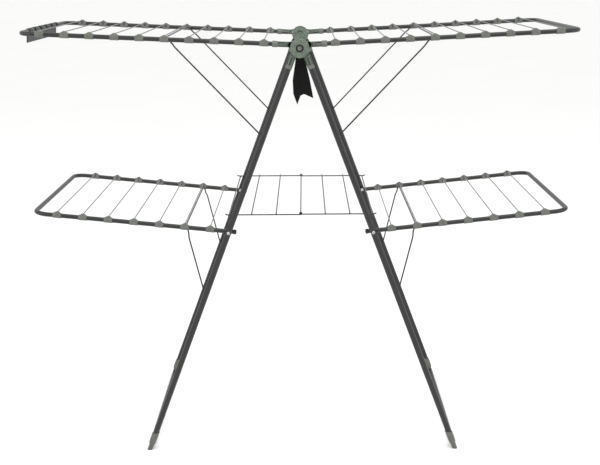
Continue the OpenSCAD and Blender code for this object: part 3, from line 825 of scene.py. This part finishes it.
def leg_socket_mesh(outer):
    """A leg socket; the two leg frames' plates lie side by side, one of them outer."""
    sunk = fluted(SOCKET_R, 1.0 * MM, 6, 0.17, math.radians(90))
    rings = [(0, SOCKET_R - 1.2 * MM), (0.8 * MM, SOCKET_R - 0.3 * MM), (2 * MM, SOCKET_R),
             (4 * MM, SOCKET_R), (5.2 * MM, sunk), (26 * MM, sunk), (27.2 * MM, SOCKET_R),
             (SOCKET_LEN - 1 * MM, SOCKET_R), (SOCKET_LEN - 0.2 * MM, SOCKET_R - 0.4 * MM),
             (SOCKET_LEN, SOCKET_R - 1.0 * MM)]
    sleeve = shell(rings, socket_plastic, 96)
    # The sunk flutes are painted near-black as shade.
    paint(sleeve, painted_shade_plastic,
          lambda p: 4.5 * MM < p.z < 27 * MM and from_axis(p) < SOCKET_R - 0.55 * MM)
    paint(sleeve, clip_plastic, lambda p: p.z > 27.3 * MM)
    start = leg_point(SOCKET_START) + Vector((0, LEG_Y, 0))
    bake(sleeve, axis_place(start, LEG_DIR))
    y0 = OUTER_PLATE if outer else INNER_PLATE
    foot = leg_point(SOCKET_START + 2 * MM)
    hub = (0, HUB.z, BOLT_EYE_R)
    pin = (WING.x, WING.z, EAR_R)
    leg_arm = plate_mesh([hub, (foot.x, foot.z, SOCKET_R - 0.5 * MM)], y0, PLATE, socket_plastic)
    ear_arm = plate_mesh([hub, pin], y0, PLATE, socket_plastic)
    ear = plate_mesh([pin], INNER_PLATE, y0 + PLATE - INNER_PLATE, socket_plastic)
    return join([sleeve, leg_arm, ear_arm, ear])


for side_name, side in SIDES:
    for end_name, end in ENDS:
        node = f"{side_name}_{end_name}_leg_socket"
        mesh = bake(leg_socket_mesh(side < 0), mirror(side, end))
        smooth(mesh, 30)
        finish(node + "_moulding", mesh, side_name + "_frame", "green_grey_plastic", node)

# %% [markdown]
# ## Wing sockets
# A wing socket is the same idea on a thinner tube: a fluted sleeve with a raised collar at
# its mouth, and an eye on the pivot pin. The same shell and plate draw it, level and at the
# pivot, and its place then gives it the wing's tilt.

# %% Wing sockets
SLEEVE_R, COLLAR_R, SLEEVE_END = WING_R + 1.2 * MM, WING_R + 2.3 * MM, 49 * MM
EYE_Y, EYE = LEG_Y - 14.4 * MM, 6.8 * MM


def wing_socket_mesh():
    """A socket along +X from its pivot, on the rear tube."""
    sunk = fluted(SLEEVE_R, 1.1 * MM, 4, 0.3, math.radians(35))
    collar = SLEEVE_END - 13 * MM
    rings = [(11 * MM, SLEEVE_R - 1.2 * MM), (12 * MM, SLEEVE_R), (14 * MM, SLEEVE_R), (15 * MM, sunk),
             (collar - 3 * MM, sunk), (collar - 2 * MM, SLEEVE_R), (collar - 1 * MM, SLEEVE_R),
             (collar, COLLAR_R - 0.2 * MM), (collar + 0.6 * MM, COLLAR_R), (SLEEVE_END - 1 * MM, COLLAR_R),
             (SLEEVE_END - 0.2 * MM, COLLAR_R - 0.5 * MM), (SLEEVE_END, COLLAR_R - 1.6 * MM)]
    sleeve = shell(rings, socket_plastic, 96)
    # The sunk flutes are painted near-black as shade.
    paint(sleeve, painted_shade_plastic,
          lambda p: 14.5 * MM < p.z < collar - 2.2 * MM and from_axis(p) < SLEEVE_R - 0.6 * MM)
    paint(sleeve, clip_plastic, lambda p: p.z > collar)
    bake(sleeve, axis_place((0, UPPER_Y, 0), (1, 0, 0)))
    eye = plate_mesh([(0, 0, EAR_R), (14 * MM, 0, SLEEVE_R - 0.6 * MM)], EYE_Y, EYE, socket_plastic)
    return join([sleeve, eye])


for side_name, side in SIDES:
    for end_name, end in ENDS:
        node = f"{side_name}_upper_{end_name}_socket"
        mesh = bake(wing_socket_mesh(), at(WING, UPPER_TILT, side, end))
        smooth(mesh, 30)
        finish(node + "_moulding", mesh, side_name + "_upper_wing", "green_grey_plastic", node)

# %% [markdown]
# ## Hubs
# The outer disc is a shallow cap with a rounded rim and a ring groove round its button. The
# inner disc carries two raised chevrons. A bevelled cylinder would give the rim, but not the
# groove and the dished button, so all of them are built from rings.

# %% Hub discs
cover_low, cover_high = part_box("rear_hub_cover")
COVER_BACK, COVER_FACE, COVER_R = cover_low[1], cover_high[1], (cover_high[0] - cover_low[0]) / 2
DISC = 6 * MM
for end_name, end in ENDS:
    front = COVER_FACE - COVER_BACK
    rings = [(0, 12 * MM), (front - DISC, 12 * MM), (front - DISC, COVER_R - 0.6 * MM),
             (front - DISC + 0.6 * MM, COVER_R), (front - 3 * MM, COVER_R),
             (front - 1.6 * MM, COVER_R - 0.7 * MM),
             (front - 0.5 * MM, COVER_R - 2 * MM), (front, COVER_R - 4 * MM), (front, 10.2 * MM),
             (front - 0.3 * MM, 9.8 * MM), (front - 1.9 * MM, 9.5 * MM), (front - 2 * MM, 9.0 * MM)]
    mesh = shell(rings, hub_plastic, 96)
    # The recess round the button is painted near-black as shade.
    paint(mesh, painted_shade_plastic, lambda p: p.z > front - 2.1 * MM and from_axis(p) < 10 * MM)
    bake(mesh, mirror(1, end) @ facing_rear(0, COVER_BACK, HUB.z))
    finish(end_name + "_hub_disc", mesh, "right_frame", "speckled_plastic", end_name + "_hub_cover")

buttons = []
for end_name, end in ENDS:
    seat = COVER_FACE - 2 * MM
    rings = [(-2 * MM, 3.9 * MM), (0, 3.9 * MM), (0, 7.8 * MM), (0.8 * MM, 8 * MM), (1.3 * MM, 7.7 * MM),
             (1.4 * MM, 5.9 * MM), (1.5 * MM, 5.6 * MM), (2.2 * MM, 5.4 * MM), (2.5 * MM, 4.4 * MM),
             (2.6 * MM, 2.4 * MM), (2.2 * MM, 2.1 * MM), (2.1 * MM, 0.3 * MM)]
    mesh = shell(rings, clip_plastic, 64)
    # The button's ring groove is painted near-black as shade.
    paint(mesh, painted_shade_plastic, lambda p: 0.1 * MM < p.z < 1.6 * MM and from_axis(p) > 5.4 * MM)
    buttons.append(bake(mesh, mirror(1, end) @ facing_rear(0, seat, HUB.z)))
mesh = join(buttons)
smooth(mesh, 30)
finish("hub_button_caps", mesh, "right_frame", "speckled_plastic", "hub_buttons")

MARK_RISE = 1.2 * MM
MARK_THICK = 1.6 * MM
CHEVRON = ((-8, 0), (0, 5), (8, 0), (8, 3), (0, 8), (-8, 3))
for end_name, end in ENDS:
    low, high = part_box("rear_inner_cover")
    face = low[1] + MARK_RISE
    rings = [(0, 20 * MM), (0, 21.5 * MM), (0.5 * MM, 22.6 * MM), (1.2 * MM, 23 * MM), (5 * MM, 23 * MM),
             (6 * MM, 22.2 * MM), (6 * MM, 10 * MM), (high[1] - face, 10 * MM)]
    parts = [bake(shell(rings, hub_plastic, 96), facing_rear(0, face, HUB.z))]
    # The raised chevrons are coloured with the near-black painted shade.
    for z in (-17 * MM, 6 * MM):
        outline = [(x * MM, HUB.z + z + h * MM) for x, h in CHEVRON]
        parts.append(outline_plate(outline, face - MARK_RISE, MARK_THICK, painted_shade_plastic, 0.3 * MM))
    mesh = bake(join(parts), mirror(1, end))
    smooth(mesh, 30)
    finish(end_name + "_inner_disc", mesh, "right_frame", "speckled_plastic", end_name + "_inner_cover")

# %% [markdown]
# ## Feet
# A foot is a tapered sleeve with a slanting mouth, a step, and a narrower toe cut level with
# the floor. Bisecting a plain sleeve would leave sharp cuts to close and bevel by hand. Here
# the slant and the level cut come from ring heights that change round the axis.

# %% Feet
FOOT_LEN, TOE_LEN, TOE_R = 60 * MM, 20 * MM, 6.6 * MM
MOUTH_SLANT = 4.5 * MM
lean = math.atan2(LEG_DIR.x, -LEG_DIR.z)


def foot_mesh():
    """The right rear foot, drawn down its leg."""
    def floor_cut(radius):
        return lambda a: FOOT_LEN - radius * math.cos(a) * math.tan(lean)

    def mouth(lift):
        return lambda a: lift + MOUTH_SLANT * (1 - math.cos(a))
    inside, outside = LEG_R + 0.1 * MM, LEG_R + 1.4 * MM
    step = FOOT_LEN - TOE_LEN
    rings = [(14 * MM, inside), (mouth(0.4 * MM), inside), (mouth(0), inside + 0.4 * MM),
             (mouth(0), outside - 0.4 * MM), (mouth(0.5 * MM), outside),
             (24 * MM, outside + 0.2 * MM), (step - 3 * MM, outside - 0.2 * MM),
             (step, outside - 1 * MM), (step + 2 * MM, TOE_R + 0.6 * MM),
             (step + 3.2 * MM, TOE_R), (FOOT_LEN - 5 * MM, TOE_R - 0.1 * MM),
             (floor_cut(TOE_R - 0.3 * MM), TOE_R - 0.3 * MM)]
    mesh = shell(rings, foot_plastic, 64)
    # The inside of the foot's mouth is painted near-black as shade.
    paint(mesh, painted_shade_plastic, lambda p: from_axis(p) < inside + 0.9 * MM and p.z < 15 * MM)
    start = leg_point(FOOT_S - FOOT_LEN) + Vector((0, LEG_Y, 0))
    return bake(mesh, axis_place(start, LEG_DIR))


for side_name, side in SIDES:
    for end_name, end in ENDS:
        node = f"{side_name}_{end_name}_foot"
        mesh = bake(foot_mesh(), mirror(side, end))
        finish(node + "_moulding", mesh, side_name + "_frame", "grey_plastic", node)

# %% [markdown]
# ## Rivets, pins and end caps
# The lower wings turn on domed rivets: one shank with the same dome at both ends, so one list
# of rings is run forwards and then back. The caps that close the wing tubes are turned too.
# Bolts, pins and the strap's rivet hardly show, so they keep their shape from the frame.

# %% Rivets and caps
HEAD = 2.2 * MM
RIVET_START = LOWER_Y - WING_R - 0.2 * MM - HEAD
RIVET_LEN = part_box("right_wing_rivets")[1][1] - RIVET_START
DOME = [(0, 1.6 * MM), (0.7 * MM, 3.2 * MM), (1.7 * MM, 4.3 * MM), (HEAD, 4.6 * MM),
        (HEAD + 0.01 * MM, 2.4 * MM)]
CAP = [(-8 * MM, 2 * MM), (-7.5 * MM, 4.6 * MM), (-6.4 * MM, 6.2 * MM), (-5 * MM, 6.7 * MM),
       (-1 * MM, 6.8 * MM), (-0.1 * MM, 6.5 * MM), (0.2 * MM, 4.9 * MM), (5 * MM, 4.9 * MM)]
for side_name, side in SIDES:
    parts = []
    for end in (-1, 1):
        mesh = shell(DOME + [(RIVET_LEN - z, r) for z, r in DOME[::-1]], zinc, 32)
        parts.append(bake(mesh, mirror(side, end) @ facing_rear(RIVET.x, RIVET_START, RIVET.z)))
    mesh = join(parts)
    smooth(mesh, 30)
    finish(side_name + "_rivet_set", mesh, side_name + "_frame", "bright_steel", side_name + "_wing_rivets")
    parts = []
    for end in (-1, 1):
        place = at(RIVET, LOWER_TILT, side, end) @ axis_place((LOWER_START, LOWER_Y, 0), (1, 0, 0))
        parts.append(bake(shell(CAP, cap_plastic, 40), place))
    mesh = join(parts)
    smooth(mesh, 30)
    finish(side_name + "_tube_caps", mesh, side_name + "_lower_wing", "black_plastic",
           side_name + "_lower_caps")

for node in ("front_hub_bolt", "rear_hub_bolt", "right_pivot_pins", "left_pivot_pins", "strap_rivet"):
    mesh = frame["nodes"][node].data
    mesh.materials.clear()
    mesh.materials.append(zinc)
    print(node + ": kept, in zinc plate")

# %% [markdown]
# ## Hanger strip
# A moulded strip is snapped over the left wing's end tube. A plate hangs from it, and its
# cover has notches that keep hanger hooks apart. Booleans on a thin curved wall tear easily,
# so plate and cover are drawn as grids without the notches' cells. Solidify and Bevel then
# give them thickness and soft edges.

# %% Hanger strip
strip_low, strip_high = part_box("hanger_strip")
STRIP_Y0, STRIP_Y1 = strip_low[1], strip_high[1]
NOTCHES = 5
NOTCH_PITCH = (STRIP_Y1 - STRIP_Y0) / (NOTCHES + 0.3)
NOTCH_LEN = NOTCH_PITCH * 0.62
COVER_MID_R = WING_R + 0.92 * MM
COVER_WALL = 1.7 * MM
PLATE_OUT = 2.5 * MM
PLATE_WALL = 3 * MM
PLATE_ROWS = (-30, -28.8, -22, -14, -6.8)
RIM_R = 0.8 * MM


def sheet_part(grid, left_out, thick):
    """A moulded wall from a grid of points, without the cells that are left out."""
    made = bmesh.new()
    points = [[made.verts.new(p) for p in line] for line in grid]
    for i in range(len(points) - 1):
        for j in range(len(points[0]) - 1):
            if not left_out(i, j):
                made.faces.new((points[i][j], points[i + 1][j], points[i + 1][j + 1], points[i][j + 1]))
    bmesh.ops.recalc_face_normals(made, faces=made.faces)
    wall = bpy.data.meshes.new("wall")
    made.to_mesh(wall)
    made.free()
    host = new_object("wall", wall)
    body = host.modifiers.new("thick", "SOLIDIFY")
    body.thickness, body.offset = thick, 0
    soft = host.modifiers.new("soft", "BEVEL")
    soft.width, soft.segments, soft.limit_method = 0.4 * MM, 2, "ANGLE"
    view = bpy.context.evaluated_depsgraph_get()
    mesh = bpy.data.meshes.new_from_object(host.evaluated_get(view), depsgraph=view)
    bpy.data.objects.remove(host)
    mesh.materials.clear()
    mesh.materials.append(strip_plastic)
    return mesh


def strip_mesh():
    """Cover, plate and notch rims, drawn level with the wing's pivot at the origin."""
    middle = (STRIP_Y0 + STRIP_Y1) / 2
    ys = [STRIP_Y0]
    for i in range(NOTCHES):
        c = middle + (i - (NOTCHES - 1) / 2) * NOTCH_PITCH
        ys += [c - NOTCH_LEN / 2, c + NOTCH_LEN / 2]
    ys.append(STRIP_Y1)
    notched = [math.radians(-22 + 16 * i) for i in range(9)]
    whole = [math.radians(124 + 18 * i) for i in range(9)]

    def round_tube(radius, a, y):
        return (UPPER_LEN - radius * math.cos(a), y, radius * math.sin(a))
    cover = [[round_tube(COVER_MID_R, a, y) for a in notched + whole] for y in ys]
    parts = [sheet_part(cover, lambda i, j: i % 2 == 1 and j < 8, COVER_WALL)]
    plate = [[(UPPER_LEN + PLATE_OUT, y, z * MM) for z in PLATE_ROWS]
             for y in (STRIP_Y0, STRIP_Y0 + 1.2 * MM, middle, STRIP_Y1 - 1.2 * MM, STRIP_Y1)]
    parts.append(sheet_part(plate, lambda i, j: False, PLATE_WALL))
    for y in ys[1:-1]:
        rim = [round_tube(COVER_MID_R + RIM_R, a, y) for a in notched]
        parts.append(bar(rim, RIM_R, 0, strip_plastic, 8))
    return join(parts)


mesh = bake(strip_mesh(), at(WING, UPPER_TILT, -1))
smooth(mesh, 30)
finish("hanger_strip_moulding", mesh, "left_upper_wing", "dark_green_plastic", "hanger_strip")

# %% [markdown]
# ## Strap
# The strap hangs behind the front hub and keeps the folded rack shut. It is a short length of
# webbing that widens to a notched end, with a slow fold down its middle. A cloth simulation
# would hang it too, but so short a strap hardly moves. It is built as a grid over its
# outline, so that its UV map can be the flat cloth.

# %% Strap
strap_low, strap_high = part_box("strap")
STRAP_LEN = strap_high[2] - strap_low[2]
STRAP_Y = (strap_low[1] + strap_high[1]) / 2
STRAP_THICK = 1.1 * MM
# Left and right edge in millimetres, at shares of the strap's length
EDGES = ((0.0, -9, 10), (0.214, -12, 15.7), (0.257, -12.9, 17), (0.54, -19, 26.2),
         (0.8, -17.5, 33), (0.88, -16, 35), (1.0, -14, 38))
# Share of the length that the hem reaches, at shares of the strap's width
HEM = ((0.0, 0.8), (0.125, 1.0), (0.36, 0.83), (0.56, 0.8), (1.0, 0.88))


def read_table(table, t, which):
    """Straight stretches between the rows of a table, read at t."""
    for low, high in zip(table, table[1:]):
        if t <= high[0]:
            k = (t - low[0]) / (high[0] - low[0])
            return low[which] * (1 - k) + high[which] * k
    return table[-1][which]


def strap_mesh():
    """The hanging cloth and its area; the flat cloth is its UV map."""
    across, down = 32, 60
    made = bmesh.new()
    uv = made.loops.layers.uv.new("cloth")
    grid, flat = [], {}
    for j in range(down + 1):
        line = []
        for i in range(across + 1):
            u = i / across
            t = j / down * read_table(HEM, u, 1)
            left_edge, right_edge = read_table(EDGES, t, 1), read_table(EDGES, t, 2)
            x = (left_edge + (right_edge - left_edge) * u) * MM
            fold = 2.2 * MM * t * math.sin(math.tau * (1.15 * u + 0.1))
            ripple = 1.2 * MM * t * t * math.sin(9 * t + 4 * u)
            v = made.verts.new((x, STRAP_Y + fold + ripple, strap_high[2] - t * STRAP_LEN))
            flat[v] = (x, t * STRAP_LEN)
            line.append(v)
        grid.append(line)
    for j in range(down):
        for i in range(across):
            face = made.faces.new((grid[j][i], grid[j + 1][i], grid[j + 1][i + 1], grid[j][i + 1]))
            for loop in face.loops:
                loop[uv].uv = flat[loop.vert]
    area = sum(f.calc_area() for f in made.faces)
    mesh = bpy.data.meshes.new("strap_cloth")
    made.to_mesh(mesh)
    made.free()
    mesh.materials.append(webbing)
    mesh.shade_smooth()
    return mesh, area


cloth, cloth_area = strap_mesh()
strap = finish("closing_strap", cloth, "right_frame", "black_fabric", "strap")
thick = strap.modifiers.new("thick", "SOLIDIFY")
thick.thickness, thick.offset = STRAP_THICK, 0
print("strap:", round(cloth_area * 1e4, 1), "square centimetres")

# %% [markdown]
# ## Studio
# A pale floor, an even white surround and three soft panels. The overhead panel draws the
# long satin highlight along each tube, and the two side panels keep their dark sides open.

# %% Floor and light
FLOOR_REACH = 60
SURROUND = 1.03
floor_mesh = bpy.data.meshes.new("floor")
corners = [(x * FLOOR_REACH, y * FLOOR_REACH, 0) for x, y in ((-1, -1), (1, -1), (1, 1), (-1, 1))]
floor_mesh.from_pydata(corners, [], [(0, 1, 2, 3)])
floor_mesh.materials.append(finish_material(
    "studio_floor", "#F7F7F6", 0.9, 4.0, 0.01, "#F5F5F4", "#F9F9F8", 900))
new_object("studio_floor", floor_mesh)

world = bpy.data.worlds.new("studio")
bpy.context.scene.world = world
world.use_nodes = True
backdrop = world.node_tree.nodes["Background"]
backdrop.inputs["Color"].default_value = (1, 1, 1, 1)
backdrop.inputs["Strength"].default_value = SURROUND
bpy.context.scene.view_settings.view_transform = "Standard"


def panel(name, place, target, size, power):
    """A square soft light at a place, turned to a target."""
    light = bpy.data.lights.new(name, "AREA")
    light.shape, light.size, light.energy = "SQUARE", size, power
    lamp = bpy.data.objects.new(name, light)
    bpy.context.scene.collection.objects.link(lamp)
    aim = (Vector(place) - Vector(target)).to_track_quat("Z", "Y").to_matrix().to_4x4()
    lamp.matrix_world = Matrix.Translation(place) @ aim
    print("light:", name, power, "W")


panel("overhead", (0.3, -1.2, 4.0), (0, 0, 0.8), 2.5, 60)
panel("left_side", (-3.2, -2.2, 2.2), (0, 0, 0.7), 1.6, 30)
panel("right_side", (3.4, -1.8, 1.8), (0, 0, 0.7), 1.6, 20)
